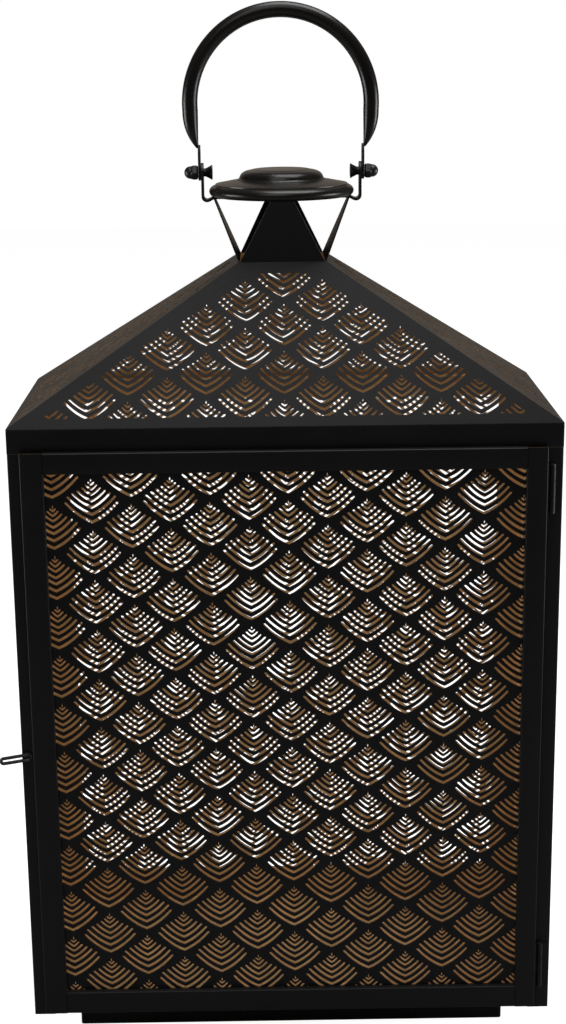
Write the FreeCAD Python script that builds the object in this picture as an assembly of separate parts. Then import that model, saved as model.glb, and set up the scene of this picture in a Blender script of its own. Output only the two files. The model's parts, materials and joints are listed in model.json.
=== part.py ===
"""Perforated sheet-metal lantern with a hinged front door, a hipped roof and a carrying bail.

Frame: origin at the centre of the plinth's underside, +Z up, the door faces -Y.
Lengths are in millimetres.
"""
import FreeCAD
import Part
import math
import os
from FreeCAD import Vector

# Driving dimensions
BODY_W = 400.0          # left to right
BODY_D = 197.0          # front to back
BODY_H = 466.0          # floor to eaves
PLINTH_H = 28.0
PLINTH_INSET = 32.0
ROOF_H = 109.0
ROOF_TOP = 65.0         # side of the square throat on top of the roof
SHEET = 1.0             # sheet thickness, and the depth of each layer of sheet
POST_LEG = 16.0
RAIL_H = 18.0           # top rail under the eaves
RAIL_FLANGE = 10.0
SILL_H = 17.0
PAN_LIP = 12.0

# Fish-scale perforation
SCALE_PITCH_X = 56.4
SCALE_PITCH_Z = 38.1
SCALE_H = 24.0          # each opening has the area of one scale's seven slots
SCALE_HALF_W = 13.8
SCALE_SHOULDER = 12.5   # depth of the widest point below the apex
PANEL_MARGIN = 20.0
ROOF_MARGIN = 13.0

# Door
DOOR_X0, DOOR_X1 = -190.7, 188.3
DOOR_GAP = 0.4          # door back to post face
DOOR_T = 6.0
DOOR_Z0 = PLINTH_H + 4.0
DOOR_Z1 = PLINTH_H + 449.2
STILE_L, STILE_R = 16.9, 15.1
DOOR_RAIL_TOP, DOOR_RAIL_BOTTOM = 15.3, 17.5

# Door hinges
HINGE_X = DOOR_X1 + 3.6  # axis of the knuckles, just outside the door edge
KNUCKLE_R = 2.4
HINGE_H = 35.0
HINGE_Z = (PLINTH_H + 38.0, PLINTH_H + 418.0)
HINGE_PIN_R = 1.25
RUNNING = 0.05          # radial clearance of each pivot

# Latch
LATCH_X, LATCH_Z = -195.6, PLINTH_H + 216.0
LATCH_TILT = 9.0        # the loop droops this many degrees
LATCH_WIRE_R = 1.3
LATCH_LOOP_L = 20.0
SPINDLE_R = 1.5
FLAG_L, FLAG_W, FLAG_T = 16.0, 4.0, 1.2

# Neck, cap and bail
NECK_H = 45.6
NECK_SPLAY = 18.5
NECK_TOP_W = 17.0
CAP_R = 53.8
CAP_H = 11.9            # underside to the foot of the dome
CAP_BASE_R = 49.0
CAP_SHELL = 1.2
DOME_R, DOME_TOP_R, DOME_H = 32.8, 20.0, 7.4
STRAP_W, STRAP_T = 14.0, 1.8
STRAP_X = 58.5          # middle of the upright tab
SCREW_Z = PLINTH_H + 638.0
SCREW_R = 3.0
SCREW_HEAD_R, SCREW_HEAD_L = 5.5, 6.6
NUT_AF, NUT_HEX_L, NUT_L = 10.0, 5.0, 10.2
TAB_GAP = 0.3
TAB_W, TAB_T = 12.0, 1.8
BAIL_R, BAIL_TUBE_R = 66.8, 5.75
BAIL_Z = PLINTH_H + 687.5
BAIL_END = 14.0         # the full-size tube stops this many degrees below the centre
BAIL_TIP = (61.6, PLINTH_H + 655.5, 1.0)   # x, z and radius of the tapered tip

# Levels and faces that the pieces share
Z_FLOOR = PLINTH_H
Z_EAVES = PLINTH_H + BODY_H
Z_THROAT = Z_EAVES + ROOF_H
Z_STRAP = Z_THROAT + NECK_H - STRAP_T
Z_CAP = Z_THROAT + NECK_H
HALF_W, HALF_D = BODY_W / 2, BODY_D / 2
DOOR_BACK = -HALF_D - DOOR_GAP
DOOR_FRONT = DOOR_BACK - DOOR_T
PANEL_FRONT = DOOR_BACK - SHEET
HINGE_Y = -HALF_D - KNUCKLE_R - DOOR_GAP

os.makedirs("parts", exist_ok=True)


def save(name, shape):
    if not shape.isValid():
        raise RuntimeError(name + " is not a valid shape")
    print("%-26s %8.0f mm3  %d solid" % (name, shape.Volume, len(shape.Solids)))
    shape.exportStep("parts/" + name + ".step")


def block(x0, x1, y0, y1, z0, z1):
    return Part.makeBox(x1 - x0, y1 - y0, z1 - z0, Vector(x0, y0, z0))


def fused(first, *others):
    return first.multiFuse(list(others)).removeSplitter()


def polygon(points):
    return Part.makePolygon([Vector(*p) for p in list(points) + [points[0]]])


def revolved(edges):
    return Part.Face(Part.Wire(edges)).revolve(Vector(0, 0, 0), Vector(0, 0, 1), 360)


def line(a, b):
    return Part.makeLine(Vector(a[0], 0, a[1]), Vector(b[0], 0, b[1]))


def arc(a, mid, b):
    return Part.Arc(Vector(a[0], 0, a[1]), Vector(mid[0], 0, mid[1]), Vector(b[0], 0, b[1])).toShape()


def scale_outline(u, v):
    """One scale opening with its apex at (u, v): straight shoulders, then concave flanks to the tip."""
    half = [(0.0, 0.0), (SCALE_HALF_W, SCALE_SHOULDER), (0.46 * SCALE_HALF_W, 0.82 * SCALE_H)]
    right = [(u + a, v - b) for a, b in half]
    left = [(u - a, v - b) for a, b in reversed(half[1:])]
    return right + [(u, v - SCALE_H)] + left


def scales_inside(v0, v1, half_width, margin, phase):
    """Scale outlines that lie whole between v0 and v1 and inside half_width(v) less the margin."""
    found = []
    columns = int(BODY_W / SCALE_PITCH_X) + 2
    rows = int((v1 - v0) / SCALE_PITCH_Z) + 3
    for column in range(-columns, columns + 1):
        u = column * SCALE_PITCH_X / 2
        lift = SCALE_PITCH_Z / 2 if column % 2 else 0.0
        for row in range(-1, rows):
            v = v0 + phase + lift + row * SCALE_PITCH_Z
            outline = scale_outline(u, v)
            inside = [v0 + margin < b < v1 - margin and abs(a) < half_width(b) - margin for a, b in outline]
            if all(inside):
                found.append(outline)
    return found


def perforated(outline, scales, place, thickness):
    """A flat sheet: outline less the scales, in the plane that place(u, v) maps to, then extruded."""
    wires = [polygon([place(*p) for p in outline])]
    wires += [polygon([place(*p) for p in scale]) for scale in scales]
    return Part.Face(wires).extrude(thickness)


def upright_panel(v0, v1, half, place, thickness, margin=PANEL_MARGIN):
    outline = [(-half, v0), (half, v0), (half, v1), (-half, v1)]
    scales = scales_inside(v0, v1, lambda v: half, margin, SCALE_PITCH_Z)
    return perforated(outline, scales, place, thickness)


# Base
def plinth():
    x, y = HALF_W - PLINTH_INSET, HALF_D - PLINTH_INSET
    outer = block(-x, x, -y, y, 0, PLINTH_H)
    return outer.cut(block(-x + SHEET, x - SHEET, -y + SHEET, y - SHEET, SHEET, PLINTH_H))


def floor_pan():
    x, y = HALF_W - 2 * SHEET, HALF_D - 2 * SHEET
    outer = block(-x, x, -y, y, Z_FLOOR, Z_FLOOR + PAN_LIP)
    x, y = x - SHEET, y - SHEET
    return outer.cut(block(-x, x, -y, y, Z_FLOOR + SHEET, Z_FLOOR + PAN_LIP))


def corner_post(side, end):
    """Angle post: one leg on the side face and one on the front or back face."""
    top = Z_EAVES - RAIL_H
    xs = sorted((side * HALF_W, side * (HALF_W - POST_LEG)))
    ys = sorted((end * HALF_D, end * (HALF_D - POST_LEG)))
    post = block(*xs, *ys, Z_FLOOR, top)
    xs = sorted((side * (HALF_W - SHEET), side * (HALF_W - POST_LEG - 1)))
    ys = sorted((end * (HALF_D - SHEET), end * (HALF_D - POST_LEG - 1)))
    post = post.cut(block(*xs, *ys, Z_FLOOR, top))
    if side < 0 and end < 0:
        post = post.cut(along_y(SPINDLE_R + RUNNING, LATCH_X, LATCH_Z, -HALF_D - 1, -HALF_D + 2 * SHEET))
    return post


def along_y(radius, x, z, y0, y1):
    return Part.makeCylinder(radius, y1 - y0, Vector(x, y0, z), Vector(0, 1, 0))


def along_x(radius, x0, x1, z=SCREW_Z):
    return Part.makeCylinder(radius, x1 - x0, Vector(x0, 0, z), Vector(1, 0, 0))


def front_sill():
    x = HALF_W - 2 * SHEET
    return block(-x, x, -HALF_D + SHEET, -HALF_D + 2 * SHEET, Z_FLOOR, Z_FLOOR + SILL_H)


def top_rail(axis, sign):
    """Angle rail under the eaves: a face RAIL_H high and a flange inwards on top."""
    def piece(depth0, depth1, z0, z1):
        if axis == "y":
            ys = sorted((sign * (HALF_D - depth0), sign * (HALF_D - depth1)))
            return block(-HALF_W, HALF_W, *ys, z0, z1)
        xs = sorted((sign * (HALF_W - depth0), sign * (HALF_W - depth1)))
        end = HALF_D - RAIL_FLANGE if z1 - z0 < RAIL_H / 2 else HALF_D - SHEET
        return block(*xs, -end, end, z0, z1)
    face = piece(0, SHEET, Z_EAVES - RAIL_H, Z_EAVES - SHEET)
    flange = piece(0, RAIL_FLANGE, Z_EAVES - SHEET, Z_EAVES)
    return fused(face, flange)


def side_panel(side):
    x = side * (HALF_W - SHEET)
    half = HALF_D - SHEET
    return upright_panel(Z_FLOOR, Z_EAVES - SHEET, half, lambda u, v: (x, u, v), Vector(-side * SHEET, 0, 0))


def back_panel():
    y = HALF_D - SHEET
    half = HALF_W - 2 * SHEET
    return upright_panel(Z_FLOOR, Z_EAVES - SHEET, half, lambda u, v: (u, y, v), Vector(0, -SHEET, 0))


# Roof
def roof_panel(axis, sign):
    """One slope of the hipped roof; its outer face runs from the eaves to the throat."""
    eave = HALF_D if axis == "y" else HALF_W
    other = HALF_W if axis == "y" else HALF_D
    run = eave - ROOF_TOP / 2
    slope = math.hypot(run, ROOF_H)
    cos_a, sin_a = run / slope, ROOF_H / slope
    seam = SHEET

    def half_width(v):
        return other + (ROOF_TOP / 2 - other) * v / slope - seam

    def place(u, v):
        out = sign * (eave - v * cos_a)
        z = Z_EAVES + v * sin_a
        return (u, out, z) if axis == "y" else (out, u, z)

    lift = SHEET * cos_a / sin_a
    v1 = slope
    outline = [(-half_width(lift), lift), (half_width(lift), lift), (half_width(v1), v1), (-half_width(v1), v1)]
    scales = scales_inside(0, slope, half_width, ROOF_MARGIN, SCALE_PITCH_Z)
    inward = (0, -sign * sin_a * SHEET) if axis == "y" else (-sign * sin_a * SHEET, 0)
    return perforated(outline, scales, place, Vector(*inward, -cos_a * SHEET))


def neck_plate(axis, sign):
    """A plate that splays out from the throat and narrows towards the cap."""
    top_z = Z_CAP if axis == "y" else Z_STRAP
    rise = top_z - Z_THROAT
    base, out = ROOF_TOP / 2, ROOF_TOP / 2 + NECK_SPLAY * rise / NECK_H
    length = math.hypot(out - base, rise)
    cos_a, sin_a = (out - base) / length, rise / length

    def place(u, distance, z):
        return (u, sign * distance, z) if axis == "y" else (sign * distance, u, z)

    foot = base - SHEET
    corners = [(-foot, base, Z_THROAT), (foot, base, Z_THROAT)]
    corners += [(NECK_TOP_W / 2, out, top_z), (-NECK_TOP_W / 2, out, top_z)]
    inward = place(0, -sin_a * SHEET, cos_a * SHEET)
    plate = Part.Face(polygon([place(*c) for c in corners])).extrude(Vector(*inward))
    return plate.cut(block(-HALF_D, HALF_D, -HALF_D, HALF_D, top_z, top_z + 2 * SHEET))


# Cap
def cap_base():
    return Part.makeCylinder(CAP_BASE_R, 2.0, Vector(0, 0, Z_CAP))


def cap_disc():
    """Spun dish: rolled rim, then a gently rising top that runs in under the dome."""
    z, t = Z_CAP, CAP_SHELL
    outer = [(CAP_BASE_R, z), (51.2, z), (CAP_R, z + 3.4), (49.8, z + 8.0), (DOME_R, z + CAP_H), (0, z + CAP_H)]
    inner = [(0, z + CAP_H - t), (DOME_R - 0.4, z + CAP_H - t), (49.2, z + 6.9), (CAP_R - t, z + 3.4)]
    inner += [(50.8, z + t), (CAP_BASE_R, z + t)]
    edges = [line(outer[0], outer[1]), arc(outer[1], (53.1, z + 1.3), outer[2])]
    edges += [arc(outer[2], (52.7, z + 6.3), outer[3]), arc(outer[3], (41.8, z + 10.6), outer[4])]
    edges += [line(outer[4], outer[5]), line(outer[5], inner[0]), line(inner[0], inner[1])]
    edges += [arc(inner[1], (41.4, z + 9.4), inner[2]), arc(inner[2], (51.6, z + 5.5), inner[3])]
    edges += [arc(inner[3], (52.0, z + 2.0), inner[4]), line(inner[4], inner[5]), line(inner[5], outer[0])]
    return revolved(edges)


def cap_dome():
    """Pressed button on the dish: a flared foot, a broad round shoulder and a small flat top."""
    z, t = Z_CAP + CAP_H, CAP_SHELL
    top = z + DOME_H
    shoulder = (DOME_R - 1.6, z + DOME_H * 0.43)
    edges = [line((DOME_R - t, z), (DOME_R, z)), line((DOME_R, z), shoulder)]
    edges += [arc(shoulder, (28.0, top - 1.2), (DOME_TOP_R, top)), line((DOME_TOP_R, top), (0, top))]
    edges += [line((0, top), (0, top - t)), line((0, top - t), (DOME_TOP_R - 0.2, top - t))]
    inner = (DOME_R - 1.6 - t, z + DOME_H * 0.43)
    edges += [arc((DOME_TOP_R - 0.2, top - t), (26.9, top - 2.3), inner)]
    edges += [line(inner, (DOME_R - t, z))]
    return revolved(edges)


def hanger_strap():
    """Flat strap under the cap whose two ends turn up into drilled tabs."""
    half_t, bend = STRAP_T / 2, 4.0
    z = Z_STRAP + half_t
    flat_end = STRAP_X - bend

    def quarter(radius, side):
        return (side * (flat_end + radius * math.sin(math.pi / 4)), z + bend - radius * math.cos(math.pi / 4))

    def half_profile(side):
        r_out, r_in = bend + half_t, bend - half_t
        outer = [(0, z - half_t), (side * flat_end, z - half_t), (side * (STRAP_X + half_t), z + bend)]
        inner = [(side * (STRAP_X - half_t), z + bend), (side * flat_end, z + half_t), (0, z + half_t)]
        top = SCREW_Z + STRAP_W / 2
        edges = [line(outer[0], outer[1]), arc(outer[1], quarter(r_out, side), outer[2])]
        edges += [line(outer[2], (outer[2][0], top)), line((outer[2][0], top), (inner[0][0], top))]
        edges += [line((inner[0][0], top), inner[0]), arc(inner[0], quarter(r_in, side), inner[1])]
        edges += [line(inner[1], inner[2]), line(inner[2], outer[0])]
        face = Part.Face(Part.Wire(edges))
        face.translate(Vector(0, -STRAP_W / 2, 0))
        return face.extrude(Vector(0, STRAP_W, 0))

    strap = fused(half_profile(-1), half_profile(1))
    rounding = along_x(STRAP_W / 2, -HALF_W, HALF_W)
    keep = fused(block(-HALF_W, HALF_W, -STRAP_W, STRAP_W, 0, SCREW_Z), rounding)
    return strap.common(keep).cut(along_x(SCREW_R, -HALF_W, HALF_W))


def bail_screw(side):
    """Screw with a flared head on the inner side and its shank through both tabs."""
    inner = STRAP_X - STRAP_T / 2
    tip = STRAP_X + STRAP_T / 2 + 2 * TAB_GAP + TAB_T + NUT_HEX_L
    shank = along_x(SCREW_R, inner, tip)
    cone = Part.makeCone(SCREW_HEAD_R, SCREW_R, SCREW_HEAD_L - 0.8, Vector(inner - SCREW_HEAD_L + 0.8, 0, SCREW_Z),
                         Vector(1, 0, 0))
    rim = along_x(SCREW_HEAD_R, inner - SCREW_HEAD_L, inner - SCREW_HEAD_L + 0.8)
    return facing(fused(shank, cone, rim), side)


def bail_nut(side):
    """Acorn nut: hexagon, then a domed end."""
    x0 = STRAP_X + STRAP_T / 2 + 2 * TAB_GAP + TAB_T
    radius = NUT_AF / math.sqrt(3)
    corners = []
    for k in range(6):
        angle = math.radians(60 * k)
        corners.append((x0, radius * math.sin(angle), SCREW_Z + radius * math.cos(angle)))
    hexagon = Part.Face(polygon(corners)).extrude(Vector(NUT_HEX_L, 0, 0))
    dome_r = NUT_AF / 2 - 0.4
    barrel = along_x(dome_r, x0, x0 + NUT_L - dome_r)
    dome = Part.makeSphere(dome_r, Vector(x0 + NUT_L - dome_r, 0, SCREW_Z))
    nut = fused(hexagon, barrel, dome)
    return facing(nut.cut(along_x(SCREW_R, x0 - 1, x0 + NUT_HEX_L)), side)


def facing(shape, side):
    if side > 0:
        return shape
    return shape.mirror(Vector(0, 0, 0), Vector(1, 0, 0))


def bail_tab(side):
    """Flat tab from the screw up into the grip."""
    x0 = STRAP_X + STRAP_T / 2 + TAB_GAP
    tab = block(x0, x0 + TAB_T, -TAB_W / 2, TAB_W / 2, SCREW_Z, SCREW_Z + 20)
    upper = block(x0, x0 + TAB_T, -TAB_W / 4, TAB_W / 4, SCREW_Z + 20, SCREW_Z + 28)
    tab = fused(tab, upper, along_x(TAB_W / 2, x0, x0 + TAB_T))
    return facing(tab.cut(along_x(SCREW_R + RUNNING, x0 - 1, x0 + TAB_T + 1)), side)


def bail_grip():
    """Round bar bent to an arc about the Y axis, with a tapered end on each side."""
    section = Part.Wire(Part.makeCircle(BAIL_TUBE_R, Vector(BAIL_R, 0, BAIL_Z), Vector(0, 0, 1)))
    centre = Vector(0, 0, BAIL_Z)
    face = Part.Face(section)
    face.rotate(centre, Vector(0, 1, 0), BAIL_END)
    bar = face.revolve(centre, Vector(0, -1, 0), 180 + 2 * BAIL_END)
    start = Vector(BAIL_R * math.cos(math.radians(BAIL_END)), 0, BAIL_Z - BAIL_R * math.sin(math.radians(BAIL_END)))
    tip = Vector(BAIL_TIP[0], 0, BAIL_TIP[1])
    axis = tip.sub(start)
    cone = Part.makeCone(BAIL_TUBE_R, BAIL_TIP[2], axis.Length, start, axis)
    knuckle = Part.makeSphere(BAIL_TUBE_R, start)
    half = fused(cone, knuckle)
    grip = fused(bar, half, facing(half, -1))
    return grip.cut(bail_tab(1)).cut(bail_tab(-1))


# Door
def channel(x0, x1, z0, z1, upright):
    """Folded channel, open at the back, with a lip along each long edge."""
    y0, y1 = DOOR_FRONT, PANEL_FRONT
    outer = block(x0, x1, y0, y1, z0, z1)
    if upright:
        return outer.cut(block(x0 + SHEET, x1 - SHEET, y0 + SHEET, y1, z0, z1))
    return outer.cut(block(x0, x1, y0 + SHEET, y1, z0 + SHEET, z1 - SHEET))


def door_panel():
    u0 = (DOOR_X0 + DOOR_X1) / 2
    half = (DOOR_X1 - DOOR_X0) / 2
    return upright_panel(DOOR_Z0, DOOR_Z1, half, lambda u, v: (u + u0, PANEL_FRONT, v), Vector(0, SHEET, 0))


def door_strike():
    """Staple behind the door edge that the latch flag turns into."""
    x0, x1 = -HALF_W + POST_LEG + 0.7, -HALF_W + POST_LEG + 7.0
    z0, z1 = LATCH_Z - 16, LATCH_Z + 16
    staple = block(x0, x1, DOOR_BACK, DOOR_BACK + 6.4, z0, z1)
    return staple.cut(block(x0, x1, DOOR_BACK, DOOR_BACK + 5.4, z0 + SHEET, z1 - SHEET))


def knuckles(z, spans, bore):
    tubes = []
    for z0, z1 in spans:
        tubes.append(Part.makeCylinder(KNUCKLE_R, z1 - z0, Vector(HINGE_X, HINGE_Y, z + z0)))
    hole = Part.makeCylinder(bore, HINGE_H + 2, Vector(HINGE_X, HINGE_Y, z - HINGE_H / 2 - 1))
    return tubes, hole


def hinge_leaf_post(z):
    third = HINGE_H / 6
    tubes, hole = knuckles(z, [(-HINGE_H / 2, -third - 0.15), (third + 0.15, HINGE_H / 2)], HINGE_PIN_R)
    y = -HALF_D
    leaf = block(HINGE_X, HALF_W - 1.2, y - SHEET, y, z - HINGE_H / 2, z + HINGE_H / 2)
    relief = Part.makeCylinder(KNUCKLE_R + 0.4, 2 * third + 0.3, Vector(HINGE_X, HINGE_Y, z - third - 0.15))
    return fused(leaf, *tubes).cut(hole).cut(relief)


def hinge_leaf_door(z):
    third = HINGE_H / 6
    tubes, hole = knuckles(z, [(-third + 0.15, third - 0.15)], HINGE_PIN_R + RUNNING)
    leaf = block(DOOR_X1, DOOR_X1 + 0.8, DOOR_FRONT + 0.5, PANEL_FRONT, z - HINGE_H / 2, z + HINGE_H / 2)
    web = block(DOOR_X1 + 0.8, HINGE_X, HINGE_Y - 1, HINGE_Y + 1, z - third + 0.15, z + third - 0.15)
    return fused(leaf, web, *tubes).cut(hole)


def hinge_pin(z):
    pin = Part.makeCylinder(HINGE_PIN_R, HINGE_H, Vector(HINGE_X, HINGE_Y, z - HINGE_H / 2))
    head = Part.makeCylinder(KNUCKLE_R - 0.3, 0.8, Vector(HINGE_X, HINGE_Y, z + HINGE_H / 2))
    foot = Part.makeCylinder(KNUCKLE_R - 0.3, 0.8, Vector(HINGE_X, HINGE_Y, z - HINGE_H / 2 - 0.8))
    return fused(pin, head, foot)


# Latch
def drooped(shape):
    return shape.rotate(Vector(LATCH_X, 0, LATCH_Z), Vector(0, 1, 0), -LATCH_TILT)


def latch_loop():
    """Hairpin of round wire that points away from the door."""
    y = -HALF_D - DOOR_GAP - SHEET - LATCH_WIRE_R
    rise = 2.0
    x0, x1 = LATCH_X + 1.5, LATCH_X - LATCH_LOOP_L + rise
    legs = []
    for side in (-1, 1):
        legs.append(Part.makeCylinder(LATCH_WIRE_R, x0 - x1, Vector(x1, y, LATCH_Z + side * rise), Vector(1, 0, 0)))
    ring = Part.makeTorus(rise, LATCH_WIRE_R, Vector(x1, y, LATCH_Z), Vector(0, 1, 0))
    bow = ring.common(block(x1 - 10, x1, y - 5, y + 5, LATCH_Z - 10, LATCH_Z + 10))
    loop = fused(bow, *legs)
    drooped(loop)
    return loop


def latch_spindle():
    front = -HALF_D - DOOR_GAP - SHEET
    washer = along_y(3.3, LATCH_X, LATCH_Z, front, front + SHEET)
    shaft = along_y(SPINDLE_R, LATCH_X, LATCH_Z, front, -HALF_D + SHEET + 0.4 + FLAG_T)
    return fused(washer, shaft)


def latch_flag():
    """Flat flag inside the post; it turns into the strike as the loop turns down."""
    y0 = -HALF_D + SHEET + 0.4
    blade = block(LATCH_X - FLAG_W / 2, LATCH_X + FLAG_W / 2, y0, y0 + FLAG_T, LATCH_Z - FLAG_L, LATCH_Z)
    eye = along_y(FLAG_W / 2, LATCH_X, LATCH_Z, y0, y0 + FLAG_T)
    flag = fused(blade, eye)
    drooped(flag)
    return flag.cut(along_y(SPINDLE_R, LATCH_X, LATCH_Z, y0 - 1, y0 + FLAG_T + 1))


SIDES = {"left": -1, "right": 1}
ENDS = {"front": -1, "back": 1}

save("plinth", plinth())
save("floor_pan", floor_pan())
save("front_sill", front_sill())
save("back_panel", back_panel())
for end_name, end_sign in ENDS.items():
    for side_name, side_sign in SIDES.items():
        save("corner_post_%s_%s" % (end_name, side_name), corner_post(side_sign, end_sign))
for name, sign in ENDS.items():
    save("top_rail_" + name, top_rail("y", sign))
    save("roof_panel_" + name, roof_panel("y", sign))
    save("neck_plate_" + name, neck_plate("y", sign))
for name, sign in SIDES.items():
    save("side_panel_" + name, side_panel(sign))
    save("top_rail_" + name, top_rail("x", sign))
    save("roof_panel_" + name, roof_panel("x", sign))
    save("neck_plate_" + name, neck_plate("x", sign))
    save("bail_screw_" + name, bail_screw(sign))
    save("bail_nut_" + name, bail_nut(sign))
    save("bail_tab_" + name, bail_tab(sign))
save("cap_base", cap_base())
save("cap_disc", cap_disc())
save("cap_dome", cap_dome())
save("hanger_strap", hanger_strap())
save("bail_grip", bail_grip())

save("door_stile_left", channel(DOOR_X0, DOOR_X0 + STILE_L, DOOR_Z0, DOOR_Z1, True))
save("door_stile_right", channel(DOOR_X1 - STILE_R, DOOR_X1, DOOR_Z0, DOOR_Z1, True))
inner_x = (DOOR_X0 + STILE_L, DOOR_X1 - STILE_R)
save("door_rail_top", channel(*inner_x, DOOR_Z1 - DOOR_RAIL_TOP, DOOR_Z1, False))
save("door_rail_bottom", channel(*inner_x, DOOR_Z0, DOOR_Z0 + DOOR_RAIL_BOTTOM, False))
save("door_panel", door_panel())
save("door_strike", door_strike())
for name, level in zip(("bottom", "top"), HINGE_Z):
    save("hinge_leaf_post_" + name, hinge_leaf_post(level))
    save("hinge_leaf_door_" + name, hinge_leaf_door(level))
    save("hinge_pin_" + name, hinge_pin(level))
save("latch_loop", latch_loop())
save("latch_spindle", latch_spindle())
save("latch_flag", latch_flag())
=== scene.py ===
"""Perforated metal lantern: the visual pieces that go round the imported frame.

Everything is in metres, in the frame's own axes: +Z up, the door faces -Y.
"""
import json
import math
import sys

import bmesh
import bpy
import numpy as np
from bpy.props import FloatProperty, FloatVectorProperty, PointerProperty
from bpy.types import Operator, Panel, PropertyGroup
from mathutils import Matrix, Vector
from mathutils.geometry import delaunay_2d_cdt
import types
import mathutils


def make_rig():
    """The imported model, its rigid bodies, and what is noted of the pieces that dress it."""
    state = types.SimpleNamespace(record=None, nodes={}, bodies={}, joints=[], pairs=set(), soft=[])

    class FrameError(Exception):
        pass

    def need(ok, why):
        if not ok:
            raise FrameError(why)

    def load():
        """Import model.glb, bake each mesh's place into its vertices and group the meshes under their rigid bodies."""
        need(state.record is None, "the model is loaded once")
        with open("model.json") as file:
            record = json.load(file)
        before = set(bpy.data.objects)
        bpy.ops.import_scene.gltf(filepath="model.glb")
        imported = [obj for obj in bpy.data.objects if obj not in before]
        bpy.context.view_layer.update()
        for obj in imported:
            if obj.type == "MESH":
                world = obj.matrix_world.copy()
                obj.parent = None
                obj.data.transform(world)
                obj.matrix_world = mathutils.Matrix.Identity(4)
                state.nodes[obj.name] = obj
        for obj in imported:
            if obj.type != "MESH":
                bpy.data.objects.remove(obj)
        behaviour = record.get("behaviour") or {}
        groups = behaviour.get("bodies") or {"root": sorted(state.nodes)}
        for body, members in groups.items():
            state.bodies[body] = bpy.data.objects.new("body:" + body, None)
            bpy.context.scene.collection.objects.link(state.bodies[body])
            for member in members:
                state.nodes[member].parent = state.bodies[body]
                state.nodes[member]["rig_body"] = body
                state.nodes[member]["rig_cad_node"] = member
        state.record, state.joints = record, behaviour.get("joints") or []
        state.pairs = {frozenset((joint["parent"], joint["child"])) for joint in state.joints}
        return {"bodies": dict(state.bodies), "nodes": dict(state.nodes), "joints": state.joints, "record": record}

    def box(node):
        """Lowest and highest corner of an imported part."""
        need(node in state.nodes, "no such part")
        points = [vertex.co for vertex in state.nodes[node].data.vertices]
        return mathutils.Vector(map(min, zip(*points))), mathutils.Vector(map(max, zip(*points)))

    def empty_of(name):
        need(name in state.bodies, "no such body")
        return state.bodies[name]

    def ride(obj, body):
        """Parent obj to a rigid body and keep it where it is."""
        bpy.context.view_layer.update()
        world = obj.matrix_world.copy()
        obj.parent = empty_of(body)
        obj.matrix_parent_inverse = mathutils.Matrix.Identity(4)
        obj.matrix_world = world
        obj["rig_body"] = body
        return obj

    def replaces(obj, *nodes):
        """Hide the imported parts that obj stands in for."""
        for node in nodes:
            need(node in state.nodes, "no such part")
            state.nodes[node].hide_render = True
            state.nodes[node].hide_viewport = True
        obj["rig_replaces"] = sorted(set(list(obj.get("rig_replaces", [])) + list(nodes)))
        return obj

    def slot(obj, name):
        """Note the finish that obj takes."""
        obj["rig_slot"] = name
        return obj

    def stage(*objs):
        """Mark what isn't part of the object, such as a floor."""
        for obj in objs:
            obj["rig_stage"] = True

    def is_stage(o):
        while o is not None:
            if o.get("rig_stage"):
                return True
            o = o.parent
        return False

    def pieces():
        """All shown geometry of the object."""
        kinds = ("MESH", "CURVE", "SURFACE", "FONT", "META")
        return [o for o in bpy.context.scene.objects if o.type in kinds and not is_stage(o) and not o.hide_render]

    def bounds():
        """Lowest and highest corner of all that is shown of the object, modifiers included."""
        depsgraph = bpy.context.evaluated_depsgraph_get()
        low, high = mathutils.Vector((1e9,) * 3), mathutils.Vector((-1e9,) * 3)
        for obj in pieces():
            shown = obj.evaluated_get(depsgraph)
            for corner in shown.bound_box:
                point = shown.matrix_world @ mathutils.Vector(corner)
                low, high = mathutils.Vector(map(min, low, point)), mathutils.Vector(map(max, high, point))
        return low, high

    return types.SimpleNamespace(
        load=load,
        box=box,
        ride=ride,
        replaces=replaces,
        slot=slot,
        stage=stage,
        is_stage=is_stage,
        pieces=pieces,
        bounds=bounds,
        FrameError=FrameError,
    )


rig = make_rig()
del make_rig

bl_info = {
    "name": "Perforated lantern",
    "version": (1, 0, 0),
    "blender": (4, 5, 0),
    "location": "View3D > Sidebar > Lantern",
    "description": "Builds the sheets, door, cap, bail and fittings of a perforated metal lantern",
    "category": "Add Mesh",
}

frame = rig.load()
CAD_BOX = [list(corner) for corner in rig.bounds()]
MM = 0.001

# Levels and faces of the body, read from the frame
RAIL_LOW, RAIL_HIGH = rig.box("top_rail_front")
HALF_W, HALF_D = RAIL_HIGH.x, -RAIL_LOW.y
Z_EAVES = RAIL_HIGH.z
Z_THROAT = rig.box("neck_plate_front")[0].z
Z_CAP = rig.box("cap_base")[0].z
DOOR_LOW, DOOR_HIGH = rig.box("door_panel")
SCREW_Z = (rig.box("bail_screw_left")[0].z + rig.box("bail_screw_left")[1].z) / 2

# Shapes that the frame leaves plain
FOLD = 0.9 * MM             # outer radius of a folded edge
SOFT_EDGE = 35              # degrees under which neighbouring faces are shaded as one
WINDOW_MARGIN = 17 * MM     # plain sheet beside and above the slots of the back and the sides
WINDOW_FOOT = 28 * MM       # plain sheet under them
BACK_MARGIN = 1.2 * WINDOW_MARGIN
ROOF_MARGINS = (7.5 * MM, 9 * MM, 8.5 * MM, 9 * MM)     # eave, hip, throat, hip
NECK_TOP = 17 * MM          # width of a neck plate under the cap
NECK_CORNER = 0.6 * MM      # radius of its corners, which it also reaches below the throat
STRAP_THICK = 1.8 * MM
STRAP_BEND, STRAP_DIP = 3.2 * MM, 2.2 * MM
SHANK = 3.0 * MM            # radius of the bail screws
FLARE_END = 5.8 * MM        # where the flared head has come down to the shank
LEAF_OUTER, LEAF_INNER = 62.4 * MM, 60.9 * MM     # where the two sides of the grip's ends come down
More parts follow.
